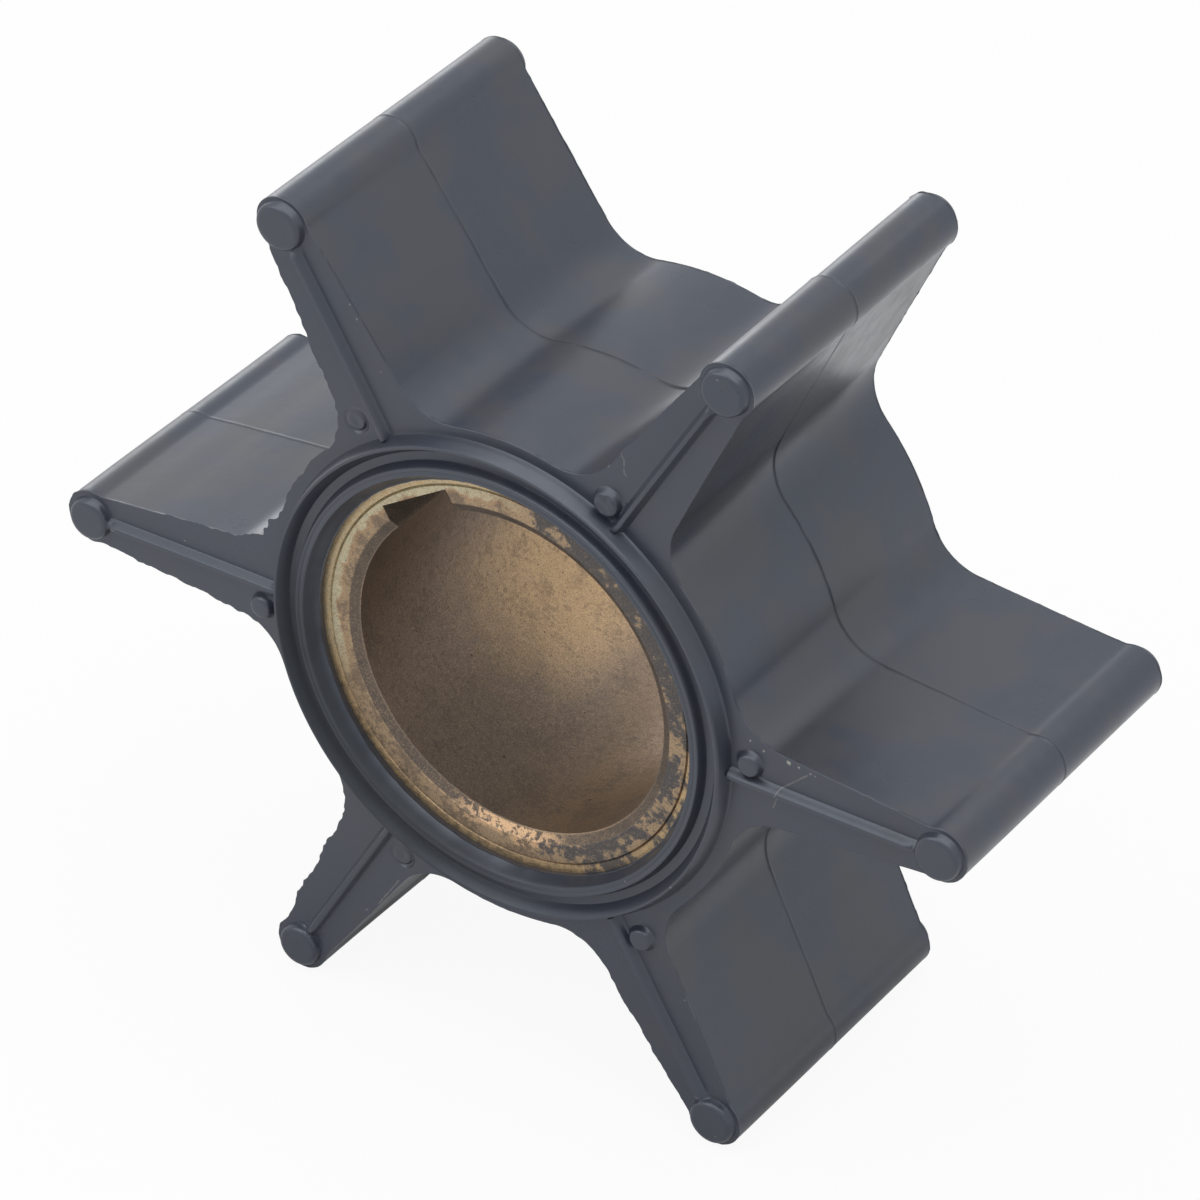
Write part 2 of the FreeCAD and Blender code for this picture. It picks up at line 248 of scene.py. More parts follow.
def half_outline():
    """One side of a vane, from the crown of its bead to the middle of the barrel wall beyond."""
    slope = (TIP_HALF - FLANK_HALF) / (TIP_RADIUS - FLANK_STATION)
    to_vane = np.array([slope, -1.0]) / math.hypot(1, slope)
    bead = np.array([TIP_RADIUS, 0.0])
    axis = np.zeros(2)
    neck = beside_flank(NECK_FILLET, slope, TIP_RADIUS, BEAD_RADIUS + NECK_FILLET, -1)
    root = beside_flank(ROOT_FILLET, slope, 0.0, BARREL_RADIUS + ROOT_FILLET, 1)
    neck_top = bead + (neck - bead) * BEAD_RADIUS / np.hypot(*(neck - bead))
    neck_foot = neck + to_vane * NECK_FILLET
    root_top = root + to_vane * ROOT_FILLET
    root_foot = root * BARREL_RADIUS / np.hypot(*root)
    middle = BARREL_RADIUS * np.array([math.cos(SECTOR / 2), math.sin(SECTOR / 2)])
    return np.vstack([
        arc_points(bead, bead + [BEAD_RADIUS, 0.0], neck_top),
        arc_points(neck, neck_top, neck_foot, clockwise=True),
        line_points(neck_foot, root_top),
        arc_points(root, root_top, root_foot, clockwise=True),
        arc_points(axis, root_foot, middle),
        [middle],
    ])


def turned(points, angle):
    """The points turned about the axis, from +X toward +Z."""
    cosine, sine = math.cos(angle), math.sin(angle)
    return points @ np.array([[cosine, sine], [-sine, cosine]])


def on_vane(vane, reach, across):
    """The place on the end face a distance out along a vane and a distance across it."""
    return turned(np.array([reach, across]), vane * SECTOR)


class Outline:
    """The closed outline of all six vanes, with the outward direction at each point and where
    the point lies beside its own vane."""

    def __init__(self):
        upper = half_outline()
        lower = (upper * [1, -1])[::-1]
        slice_points = np.vstack([lower[:-1], upper[:-1]])
        self.reach, self.across = np.tile(slice_points, (VANES, 1)).T
        self.vane = np.repeat(np.arange(VANES), len(slice_points))
        self.points = np.vstack([turned(slice_points, k * SECTOR) for k in range(VANES)])
        tangent = np.roll(self.points, -1, 0) - np.roll(self.points, 1, 0)
        tangent /= np.hypot(*tangent.T)[:, None]
        self.outward = np.column_stack([tangent[:, 1], -tangent[:, 0]])
        steps = np.hypot(*(np.roll(self.points, -1, 0) - self.points).T)
        self.length = steps.sum()
        self.angles = np.concatenate([[0], np.cumsum(steps)[:-1]]) * math.tau / self.length
        self.walls = WALL_HEIGHT * self.waves(WALL_WAVES)

    def wave(self, length, seed):
        """Smooth noise from -1 to 1 along the outline, with features of about a length."""
        return round_wave(self.angles, self.length / math.tau, length, seed)

    def waves(self, parts, level=0.0, seed=0.0):
        """A level with waves added to it, each with its own share, length and seed."""
        result = level
        for share, length, own_seed in parts:
            result = result + share * self.wave(length, own_seed + seed)
        return result

    def stretch(self, vane, start, end, side, soft):
        """1 along one side of a vane between two distances out along it, 0 elsewhere."""
        share = ramp(self.reach, start - soft, start + soft)
        share = share * (1 - ramp(self.reach, end - soft, end + soft))
        return share * (self.vane == vane) * (self.across * side > 0)

    def ring(self, offset, place):
        """The outline moved outward by an offset, at a place along the axis."""
        points = self.points + self.outward * np.reshape(self.walls + offset, (-1, 1))
        return np.column_stack([points[:, 0], np.zeros(len(points)) + place, points[:, 1]])


outline = Outline()


def flash_width(seed):
    """Ragged width of the flash round one end face."""
    teeth = np.clip(outline.waves(TEETH_WAVES, seed=seed), 0, 1)
    stretches = ramp(outline.waves(STRETCH_WAVES, seed=seed), *STRETCH_RAMP)
    width = FLASH_LEAST + FLASH_TEETH * teeth * lerp(FLASH_LOW_SHARE, 1.0, stretches)
    ragged = outline.waves(PATCH_WAVES, PATCH_LEVEL, seed)
    for vane, start, end, side, extra in FLASH_PATCHES:
        width += extra * outline.stretch(vane, start, end, side, PATCH_SOFT) * np.clip(ragged, 0, None)
    return np.clip(width, 0.0, None)


# Stations of the moulded skin, from an end face inward: depth, share of the flash width, offset,
# and share of the painted shade under the flash
EDGE_STATIONS = [
    (0.0, 1.0, -0.02, 0.0),
    (0.02, 1.0, 0.0, 0.0),
    (0.05, 0.85, 0.0, 0.5),
    (0.085, 0.2, 0.0, 1.0),
    (0.13, 0.0, 0.0, 0.7),
    (0.18, 0.0, 0.0, 0.0),
]
PLAIN_STATIONS = [0.7, 1.8, 3.4, 5.2, 7.0, 8.4, 9.1]
# Across the parting ridge: distance from its middle, and shares of its height and of its painted shade
RIDGE_STATIONS = [(0.20, 0.0, 0.0), (0.095, 0.05, 0.15), (0.06, 0.8, 1.0), (0.025, 1.0, 1.0)]
RIDGE_WANDER = [(0.07, 5.0, 2.0), (0.02, 0.7, 5.0)]
RIDGE_LEVEL = 0.8
RIDGE_WAVES = [(0.35, 2.5, 9.0)]
# The ridge is lower on the flanks, with less painted shade there, and least on one vane
RIDGE_FADE = (16.5, 18.5)
FLANK_RIDGE = 0.25
FLANK_SHADE = 0.7
FAINT_VANE = 3
FAINT_SHADE = 0.25
LEAST_RIDGE_SHADE = 0.6
RIDGE_SHADE_WAVES = [(1.0, 1.6, 14.0)]
RIDGE_SHADE_RAMP = (-0.4, 0.2)
# Where painted shade darkens the hollow beside the ridge: vane, distance out from and to, side, softness
HOLLOW_SHADE = (1, 14.5, 17.6, 1, 0.5)
HOLLOW_WIDTH = 0.15
# The painted shade under the flash comes and goes
BROKEN_WAVES = [(1.0, 2.2, 41.0), (0.5, 0.5, 43.0)]
BROKEN_RAMP = (-0.1, 0.25)
# The back half of the mould was a little smaller round one bead, from the neck outward
SMALLER_BEAD = 1
BEAD_STEP = 0.06
BEAD_STEP_FADE = (TIP_RADIUS - 0.8, TIP_RADIUS + 0.4)


def skin_rings(front_flash, back_flash):
    """Rings of points (x, y, z) and their painted shade, from the front end face to the back one."""
    wander = outline.waves(RIDGE_WANDER)
    on_flank = ramp(outline.reach, *RIDGE_FADE)
    height = PARTING_HEIGHT * outline.waves(RIDGE_WAVES, RIDGE_LEVEL) * lerp(1.0, FLANK_RIDGE, on_flank)
    # Painted shade: dark lines along the parting ridge, in the hollow beside it and under the flash
    flank_shade = np.where(outline.vane == FAINT_VANE, FAINT_SHADE, FLANK_SHADE)
    ridge_shade = lerp(LEAST_RIDGE_SHADE, 1.0, ramp(outline.waves(RIDGE_SHADE_WAVES), *RIDGE_SHADE_RAMP))
    ridge_shade = ridge_shade * lerp(1.0, flank_shade, on_flank)
    hollow = outline.stretch(*HOLLOW_SHADE)
    broken = ramp(outline.waves(BROKEN_WAVES), *BROKEN_RAMP)
    painted_light_share = np.zeros(len(outline.points))
    on_bead = (outline.vane == SMALLER_BEAD) & (outline.across > 0)
    back_step = BEAD_STEP * on_bead * ramp(outline.reach, *BEAD_STEP_FADE)

    front, back = [], []
    for depth, flash, offset, painted_shade in EDGE_STATIONS:
        front.append((outline.ring(front_flash * flash + offset, depth - VANE_END), painted_shade * broken))
        back.append((outline.ring(back_flash * flash + offset - back_step, VANE_END - depth),
                     painted_shade * broken))
    for depth in PLAIN_STATIONS:
        front.append((outline.ring(0.0, depth - VANE_END), painted_light_share))
        back.append((outline.ring(-back_step, VANE_END - depth), painted_light_share))
    for distance, share, painted_shade in RIDGE_STATIONS:
        shaded = np.maximum(painted_shade * ridge_shade, hollow * (distance < HOLLOW_WIDTH))
        front.append((outline.ring(height * share, wander - distance), shaded))
        back.append((outline.ring(height * share - back_step, wander + distance), shaded))
    return front + back[::-1]


# End faces

hub_profile = Profile([(radius, VANE_RELIEF - depth) for radius, depth in HUB_PROFILE], HUB_ROUNDING)
rib_profile = Profile(RIB_PROFILE, RIB_ROUNDING)
disc_profile = Profile(DISC_PROFILE, DISC_ROUNDING)
pin_profile = Profile(PIN_PROFILE, PIN_ROUNDING)
mark_profile = Profile(MARK_PROFILE, MARK_ROUNDING)
RIB_GAP = 0.02
RIB_END = DISC_PROFILE[-1][0] * max(DISC_SIZES) + RIB_GAP
# Small enough to tell two surfaces apart, and to divide by
TINY = 0.01
PLAN_TOLERANCE = 1e-7
HOLE_MARGIN = 0.001


def end_height(points):
    """Height of the end face above the plain vane end."""
    height = hub_profile.at(np.hypot(*points.T))
    for vane, size in enumerate(DISC_SIZES):
        local = turned(points, -vane * SECTOR)
        from_bead = np.hypot(local[:, 0] - TIP_RADIUS, local[:, 1])
        on_rib = ramp(local[:, 0], RIB_START, RIB_START + RIB_START_SLOPE) * (local[:, 0] < TIP_RADIUS)
        notch = lerp(NOTCH_HEIGHT, 1.0, ramp(from_bead, RIB_END, RIB_END + NOTCH_SLOPE))
        rib = rib_profile.at(np.abs(local[:, 1])) * on_rib * notch
        height = np.maximum(height, VANE_RELIEF * rib)
        height = np.maximum(height, VANE_RELIEF * disc_profile.at(from_bead / size))
    for vane, (reach, across, size) in PINS.items():
        distance = np.hypot(*(points - on_vane(vane, reach, across)).T)
        height = np.maximum(height, VANE_RELIEF * pin_profile.at(distance / size))
    for vane, (reach, across, size) in MARKS.items():
        beside = points - on_vane(vane, reach, across)
        distance = np.hypot(*beside.T)
        aside = beside @ [math.cos(MARK_HEADING), math.sin(MARK_HEADING)] / np.maximum(distance, TINY)
        depth = lerp(MARK_SHALLOW, 1.0, ramp(aside, *MARK_TURN))
        height = height + VANE_RELIEF * mark_profile.at(distance / size) * depth
    return height


def circle_points(centre, radius, count):
    """Points spaced evenly on a circle."""
    angles = np.arange(count) * math.tau / count
    return centre + radius * np.column_stack([np.cos(angles), np.sin(angles)])


class Plan:
    """Points and lines that the triangles of an end face must follow."""

    def __init__(self):
        self.points = []
        self.edges = []
        self.count = 0

    def add(self, points, closed):
        """Add points with a line through them, which may close on itself."""
        last = len(points) if closed else len(points) - 1
        for i in range(last):
            self.edges.append((self.count + i, self.count + (i + 1) % len(points)))
        self.scatter(points)

    def scatter(self, points):
        """Add points with no line through them."""
        self.points.append(points)
        self.count += len(points)

    def triangles(self):
        """Vertices and triangles inside the first closed loop, hub hole left out."""
        flat = [Vector(point) for point in np.vstack(self.points)]
        made = delaunay_2d_cdt(flat, self.edges, [], 1, PLAN_TOLERANCE)
        vertices = np.array([tuple(vertex) for vertex in made[0]])
        faces = np.array([tuple(face) for face in made[2]])
        radius = np.hypot(*vertices.T)
        return vertices, faces[radius[faces].max(1) > BUSH_RADIUS + HOLE_MARGIN]


# Spacing of the points that fill the plain parts, and how far they keep from other lines
FILL_STEP = 0.55
FILL_START = 0.70
FILL_MARGIN = 0.3
FILL_BEAD_GAP = 1.6
PIN_CLEARANCE = 1.1
ROOT_HALF = 2.9
# How many lines and circles follow each raised form, and how many points go round a circle
RIB_LINES = 8
RIB_SLOPE_STEPS = (0.0, 0.04, 0.08)
RIB_STEP = 0.24
DISC_CIRCLES = 12
DISC_POINTS = 44
PIN_CIRCLES = 9
MARK_CIRCLES = 12
PIN_POINTS = 30


def fill_points():
    """An even scatter over the plain parts of the vane ends."""
    steps = np.arange(BARREL_RADIUS, TIP_RADIUS - FILL_BEAD_GAP, FILL_STEP)
    stations = [BARREL_RADIUS, FLANK_STATION, TIP_RADIUS]
    rows = []
    for vane in range(VANES):
        for reach in steps:
            half = np.interp(reach, stations, [ROOT_HALF, FLANK_HALF, TIP_HALF])
            for side in (-1, 1):
                across = np.arange(FILL_START, half - FILL_MARGIN, FILL_STEP)
                rows.append(turned(np.column_stack([np.full(len(across), reach), side * across]),
                                   vane * SECTOR))
    points = np.vstack(rows)
    keep = np.ones(len(points), bool)
    for vane, (reach, across, size) in {**PINS, **MARKS}.items():
        keep &= np.hypot(*(points - on_vane(vane, reach, across)).T) > PIN_CLEARANCE * size
    return points[keep]


def end_face(border):
    """Vertices (x, height, z) and triangles of an end face, anticlockwise seen from the front."""
    plan = Plan()
    plan.add(border, True)
    for radius in hub_profile.places(HUB_CIRCLES):
        plan.add(circle_points(0.0, radius, HUB_SPOKES), True)
    rib_places = rib_profile.places(RIB_LINES)
    rib_reach = np.append(RIB_START + np.array(RIB_SLOPE_STEPS),
                          np.arange(RIB_START + RIB_START_SLOPE, TIP_RADIUS - RIB_END, RIB_STEP))
    for vane, size in enumerate(DISC_SIZES):
        for across in np.concatenate([-rib_places[:0:-1], rib_places]):
            line = np.column_stack([rib_reach, np.full(len(rib_reach), across)])
            plan.add(turned(line, vane * SECTOR), False)
        for radius in disc_profile.places(DISC_CIRCLES)[1:]:
            plan.add(circle_points(on_vane(vane, TIP_RADIUS, 0.0), radius * size, DISC_POINTS), True)
    small_details = [(PINS, pin_profile.places(PIN_CIRCLES)), (MARKS, mark_profile.places(MARK_CIRCLES))]
    for details, radii in small_details:
        for vane, (reach, across, size) in details.items():
            for radius in radii[1:]:
                plan.add(circle_points(on_vane(vane, reach, across), radius * size, PIN_POINTS), True)
    plan.scatter(fill_points())
    vertices, faces = plan.triangles()
    return np.insert(vertices, 1, end_height(vertices), 1), faces


# The whole moulding

def leaned(points):
    """The points with each vane leaning as it does in the photograph."""
    flat = points[:, [0, 2]]
    vane = np.round(np.arctan2(flat[:, 1], flat[:, 0]) / SECTOR).astype(int) % VANES
    back = ramp(points[:, 1], -VANE_END, VANE_END)
    result = points.copy()
    for number, (front_lean, back_lean) in LEAN.items():
        mine = vane == number
        direction = on_vane(number, 1.0, 0.0)
        reach = flat[mine] @ direction
        share = np.clip((reach - LEAN_FROM) / (TIP_RADIUS - LEAN_FROM), 0, None) ** LEAN_POWER
        shift = share * lerp(front_lean, back_lean, back[mine])
        result[mine, 0] -= direction[1] * shift
        result[mine, 2] += direction[0] * shift
    return result


def warped_hub(points):
    """The points with the front rings a little aside and the lip hanging over the brass."""
    radius = np.hypot(points[:, 0], points[:, 2])
    angle = np.arctan2(points[:, 2], points[:, 0])
    from_brass = ramp(radius, BUSH_RADIUS, LIP_OUTSIDE)
    aside = from_brass * (1 - ramp(radius, *RING_SHIFT_FADE)) * (points[:, 1] < -VANE_END)
    result = points.copy()
    result[:, 0] += RING_SHIFT * aside * math.cos(RING_SHIFT_HEADING)
    result[:, 2] += RING_SHIFT * aside * math.sin(RING_SHIFT_HEADING)
    rag = np.zeros(len(points))
    near = (radius < LIP_OUTSIDE) & (np.abs(points[:, 1]) > BRASS_END + TINY)
    for side in (-1, 1):
        mine = near & (points[:, 1] * side > 0)
        rag[mine] = LIP_LEVEL
        for share, length, seed in LIP_WAVES:
            rag[mine] += share * round_wave(angle[mine], BUSH_RADIUS, length, seed * side)
    inward = LIP_OVERHANG * np.clip(rag, 0, None) * (1 - from_brass) / radius
    result[:, 0] -= points[:, 0] * inward
    result[:, 2] -= points[:, 2] * inward
    return result


def ring_faces(rings, count, outward):
    """Quads between rings of points that follow one another toward the back."""
    first = np.arange(count)
    following = (first + 1) % count
    quads = []
    for ring in range(rings - 1):
        near, far = ring * count, (ring + 1) * count
        quad = np.column_stack([near + first, far + first, far + following, near + following])
        quads.append(quad if outward else quad[:, ::-1])
    return np.vstack(quads)


# Points this close, in metres, become one
WELD_DISTANCE = 2e-7
SHARP_ANGLE = math.radians(40)


class MeshParts:
    """Points with their painted shade, and the faces on them, gathered part by part."""

    def __init__(self):
        self.points = []
        self.painted_shade = []
        self.faces = []
        self.count = 0

    def add(self, points, faces, painted_shade=None):
        self.points.append(points)
        self.painted_shade.append(np.zeros(len(points)) if painted_shade is None else painted_shade)
        self.faces.extend((faces + self.count).tolist())
        self.count += len(points)


def build_rotor():
    """The moulding as one closed mesh: skin, two end faces, and the wall round the bush."""
    parts = MeshParts()
    rings = skin_rings(*[flash_width(seed) for seed in FLASH_SEEDS])
    skin, painted_shade = zip(*rings)
    parts.add(np.vstack(skin), ring_faces(len(rings), len(outline.points), True), np.concatenate(painted_shade))

    for end, side in ((skin[0], -1), (skin[-1], 1)):
        vertices, faces = end_face(end[:, [0, 2]])
        vertices[:, 1] = side * (VANE_END + vertices[:, 1])
        parts.add(vertices, faces if side < 0 else faces[:, ::-1])

    mouth = circle_points(0.0, BUSH_RADIUS, HUB_SPOKES)
    lip = VANE_END + end_height(mouth)
    wall = []
    for depth in (-lip, -BRASS_END, 0.0, BRASS_END, lip):
        wall.append(np.column_stack([mouth[:, 0], np.zeros(HUB_SPOKES) + depth, mouth[:, 1]]))
    parts.add(np.vstack(wall), ring_faces(len(wall), HUB_SPOKES, False))

    mesh = bpy.data.meshes.new("moulded_rotor")
    mesh.from_pydata(warped_hub(leaned(np.vstack(parts.points))) * MM, [], parts.faces)
    # The painted shade of the seams rides on the mesh as a point attribute
    mesh.attributes.new("painted_shade", "FLOAT", "POINT").data.foreach_set("value", np.concatenate(parts.painted_shade))
    welded = bmesh.new()
    welded.from_mesh(mesh)
    bmesh.ops.remove_doubles(welded, verts=welded.verts, dist=WELD_DISTANCE)
    open_edges = sum(not edge.is_manifold for edge in welded.edges)
    triangles = sum(len(face.verts) - 2 for face in welded.faces)
    print("moulded_rotor open edges", open_edges, "triangles", triangles)
    welded.to_mesh(mesh)
    welded.free()
    mesh.shade_smooth()
    mesh.set_sharp_from_angle(angle=SHARP_ANGLE)
    piece = bpy.data.objects.new("moulded_rotor", mesh)
    bpy.context.scene.collection.objects.link(piece)
    return piece


# Finishes

def around(degrees, radius=1.0):
    """The point on the end plane at a heading and a distance from the axis."""
    return radius * math.cos(math.radians(degrees)), radius * math.sin(math.radians(degrees))


def in_plane(point):
    """The place (x, 0, z) of a point on the end plane."""
    return point[0], 0.0, point[1]


class Nodes:
    """Builds a node tree, with sockets or plain values as the inputs of each node."""

    def __init__(self, tree):
        self.tree = tree

    def node(self, kind, inputs=None, **settings):
        made = self.tree.nodes.new("ShaderNode" + kind)
        for name, value in settings.items():
            setattr(made, name, value)
        for socket, value in (inputs or {}).items():
            if isinstance(value, bpy.types.NodeSocket):
                self.tree.links.new(value, made.inputs[socket])
            else:
                made.inputs[socket].default_value = value
        return made

    def math(self, operation, first, second=0.0, clamp=False):
        made = self.node("Math", {0: first, 1: second}, operation=operation, use_clamp=clamp)
        return made.outputs[0]

    def vector(self, operation, first, second):
        made = self.node("VectorMath", {0: first, 1: second}, operation=operation)
        return made.outputs["Value" if operation in ("DISTANCE", "DOT_PRODUCT", "LENGTH") else 0]

    def own_white(self, to_camera, to_mirrors):
        """How much of a background's own white is seen by the camera, and in mirrors and glass."""
        path = self.node("LightPath").outputs
        mirrors = self.math("MAXIMUM", path["Is Glossy Ray"], path["Is Transmission Ray"])
        return self.math("MAXIMUM", self.math("MULTIPLY", path["Is Camera Ray"], to_camera),
                         self.math("MULTIPLY", mirrors, to_mirrors))


class Finish(Nodes):
    """A material built node by node. Places are in millimetres."""

    DOT_CORE = 0.6

    def __init__(self, name):
        self.material = bpy.data.materials.new(name)
        self.material.use_nodes = True
        super().__init__(self.material.node_tree)
        self.shader = self.tree.nodes["Principled BSDF"]
        coordinates = self.node("TexCoord")
        self.place = self.node("VectorMath", {0: coordinates.outputs["Object"], 3: 1 / MM},
                               operation="SCALE").outputs[0]
        self.x, self.y, self.z = self.node("SeparateXYZ", {0: self.place}).outputs
        self.level = self.node("CombineXYZ", {0: self.x, 2: self.z}).outputs[0]
        self.radius = self.vector("LENGTH", self.level, (0, 0, 0))
        self.front = self.math("LESS_THAN", self.y, 0.0)

    def step(self, value, low, high, bottom=0.0, top=1.0):
        """A soft step from bottom, where the value is low, to top, where it is high."""
        made = self.node("MapRange", {"Value": value, "From Min": low, "From Max": high,
                                      "To Min": bottom, "To Max": top},
                         interpolation_type="SMOOTHSTEP")
        return made.outputs[0]

    def band(self, value, low, high, soft):
        """1 between two values, 0 outside them."""
        return self.math("MULTIPLY", self.step(value, low - soft, low + soft),
                         self.step(value, high - soft, high + soft, 1.0, 0.0))

    def noise(self, scale, detail, rough, place=None):
        made = self.node("TexNoise", {"Vector": place or self.place, "Scale": scale,
                                      "Detail": detail, "Roughness": rough})
        return made.outputs[0]

    def mix(self, share, first, second):
        return self.node("Mix", {0: share, 6: first, 7: second}, data_type="RGBA").outputs[2]

    def coat(self, colour, mask, share, over):
        """A colour with another laid over it where a mask is 1, as far as a share."""
        return self.mix(self.math("MULTIPLY", mask, share), colour, over)

    def product(self, *shares):
        return self.folded("MULTIPLY", shares)

    def toward(self, degrees, half_width, soft):
        """1 where the surface lies within so many degrees of a heading, seen from the axis."""
        outward = self.node("VectorMath", {0: self.level}, operation="NORMALIZE").outputs[0]
        nearness = self.vector("DOT_PRODUCT", outward, in_plane(around(degrees)))
        return self.step(nearness, math.cos(math.radians(half_width + soft)),
                         math.cos(math.radians(max(0.0, half_width - soft))))

    def from_point(self, point):
        return self.vector("DISTANCE", self.level, in_plane(point))

    def from_line(self, start, end):
        """Distance in the end plane to a straight line between two places."""
        first = Vector(in_plane(start))
        run = Vector(in_plane(end)) - first
        beside = self.vector("SUBTRACT", self.level, first)
        share = self.math("MULTIPLY", self.vector("DOT_PRODUCT", beside, run), 1 / run.length_squared,
                          clamp=True)
        nearest = self.node("VectorMath", {0: run, 3: share}, operation="SCALE").outputs[0]
        return self.vector("DISTANCE", beside, nearest)

    def folded(self, operation, values):
        """The values taken together, one after another, by one operation."""
        result = values[0]
        for value in values[1:]:
            result = self.math(operation, result, value)
        return result

    def nearest(self, *distances):
        return self.folded("MINIMUM", distances)

    def strongest(self, *shares):
        return self.folded("MAXIMUM", shares)

    def dots(self, scale, radius, rarity):
        """Round dots of a radius, kept in all but a share of the cells of a scatter."""
        cells = self.node("TexVoronoi", {"Vector": self.place, "Scale": scale})
        chance = self.node("SeparateColor", {0: cells.outputs["Color"]}).outputs[0]
        size = radius * scale
        dot = self.step(cells.outputs["Distance"], self.DOT_CORE * size, size, 1.0, 0.0)
        return self.math("MULTIPLY", dot, self.math("GREATER_THAN", chance, rarity))

    def bump(self, height, distance, below=None):
        """Relief a distance deep in millimetres, laid on the relief below where there is one."""
        inputs = {"Height": height, "Distance": distance * MM, "Strength": 1.0}
        if below is not None:
            inputs["Normal"] = below
        return self.node("Bump", inputs).outputs[0]

    def use(self, socket, value):
        """Give the shader's own socket a plain value or another node's output."""
        if isinstance(value, bpy.types.NodeSocket):
            self.tree.links.new(value, self.shader.inputs[socket])
        else:
            self.shader.inputs[socket].default_value = value


# In what follows, a noise is its features per millimetre, its detail and its roughness. A step is
# two values, and the shares at them where those aren't 0 and 1. A side is a heading from +X toward
# +Z, a half width and a softness in degrees. Dots are the scale of their scatter, their radius and
# the share of its cells that stay empty.

# Rubber
RUBBER_BLUE = (0.026, 0.032, 0.048, 1)
RUBBER_BROWN = (0.036, 0.037, 0.044, 1)
RUBBER_END = (0.030, 0.034, 0.048, 1)
RUBBER_GLOSS = (0.84, 0.91, 1.0, 1)
# Near black, laid on as painted shade in the seams and on the front rings, and as real dirt on one pin's
# top
SHADE_AND_DIRT = (0.006, 0.007, 0.010, 1)
DUST = (0.20, 0.19, 0.18, 1)
CHAFED = (0.42, 0.40, 0.37, 1)

# Pale flecks on the front end: vane, distance out along it and across it, and radius
FLECKS = [
    (0, 15.22, 2.47, 0.07), (0, 16.04, 2.15, 0.08), (0, 17.55, 2.04, 0.14), (0, 18.16, 2.00, 0.08),
    (0, 18.85, 1.89, 0.07), (0, 19.13, 1.85, 0.06), (1, 16.96, 2.29, 0.06), (1, 22.20, 1.93, 0.06),
    (1, 22.75, 1.89, 0.05), (1, 27.20, 0.47, 0.05), (2, 17.76, -1.64, 0.05), (2, 20.82, -1.67, 0.05),
    (2, 21.67, -1.67, 0.05), (3, 20.47, -0.67, 0.06), (5, 19.51, 2.00, 0.05), (5, 27.38, 0.18, 0.05),
]
# Scratches on the front end: vane, and the places that each passes
SCRATCHES = [
    (0, [(18.67, 1.71), (17.73, 0.84), (17.13, 0.29), (16.67, -1.16)]),
    (1, [(18.20, 2.11), (18.02, 1.84), (17.38, 1.47), (17.33, 1.31)]),
    (1, [(18.20, 2.20), (22.20, 1.96)]),
    (4, [(20.75, 1.68), (20.95, 1.66)]),
    (4, [(17.22, 2.09), (19.76, 2.00)]),
]
SCRATCH_WIDTH = 0.035
SCRATCH_STEP = (0.4 * SCRATCH_WIDTH, 1.6 * SCRATCH_WIDTH, 0.5, 0.0)
FLECK_STEP = (-0.05, 0.01, 0.65, 0.0)
# Pale flecks on the hub rings: heading and distance from the axis
RING_FLECKS = [(312, 12.2), (324, 13.75), (60, 13.3)]
RING_FLECK_RADIUS = 0.06
CHAFED_DOTS = (0.30, 0.045, 0.55)
CHAFED_SHARE = 0.5

RUBBER_BLOTCHES = (0.16, 4.0, 0.55)
RUBBER_MOTTLE = (0.9, 4.0, 0.6)
RUBBER_GRAIN = (7.0, 3.0, 0.65)
RAGGED_EDGES = (11.0, 2.0, 0.6)
EDGE_WOBBLE = 0.16
BROWN_STEP = (0.42, 0.60)
BROWN_MOTTLE_STEP = (0.45, 0.75, 0.0, 0.25)
END_STEP = (VANE_END - 0.25, VANE_END - 0.05)
END_SHARE = 0.6
SEAM_SHADE_SHARE = 0.85
# One pin's top is mottled with dirt
DIRTY_PIN = 1
PIN_TOP_STEP = (0.62, 0.80, 1.0, 0.0)
PIN_DIRT = (3.0, 3.0, 0.5)
PIN_DIRT_STEP = (0.42, 0.55)
PIN_DIRT_SHARE = 0.5
# Painted shade darkens the rings along the lower left of the front, and they are duller there
PAINTED_SHADE_SIDE = (222, 50, 24)
PAINTED_SHADE_RINGS = (11.8, 13.9, 0.15)
PAINTED_SHADE_SHARE = 0.8
GLOSS_STEP = (0.35, 0.65, 0.27, 0.33)
GLOSS_MOTTLE_STEP = (0.4, 0.7, 0.0, 0.05)
SHADE_DULLNESS = 0.3
RUBBER_IOR = 1.62
MOTTLE_BUMP = 0.010
RUBBER_GRAIN_BUMP = 0.0012


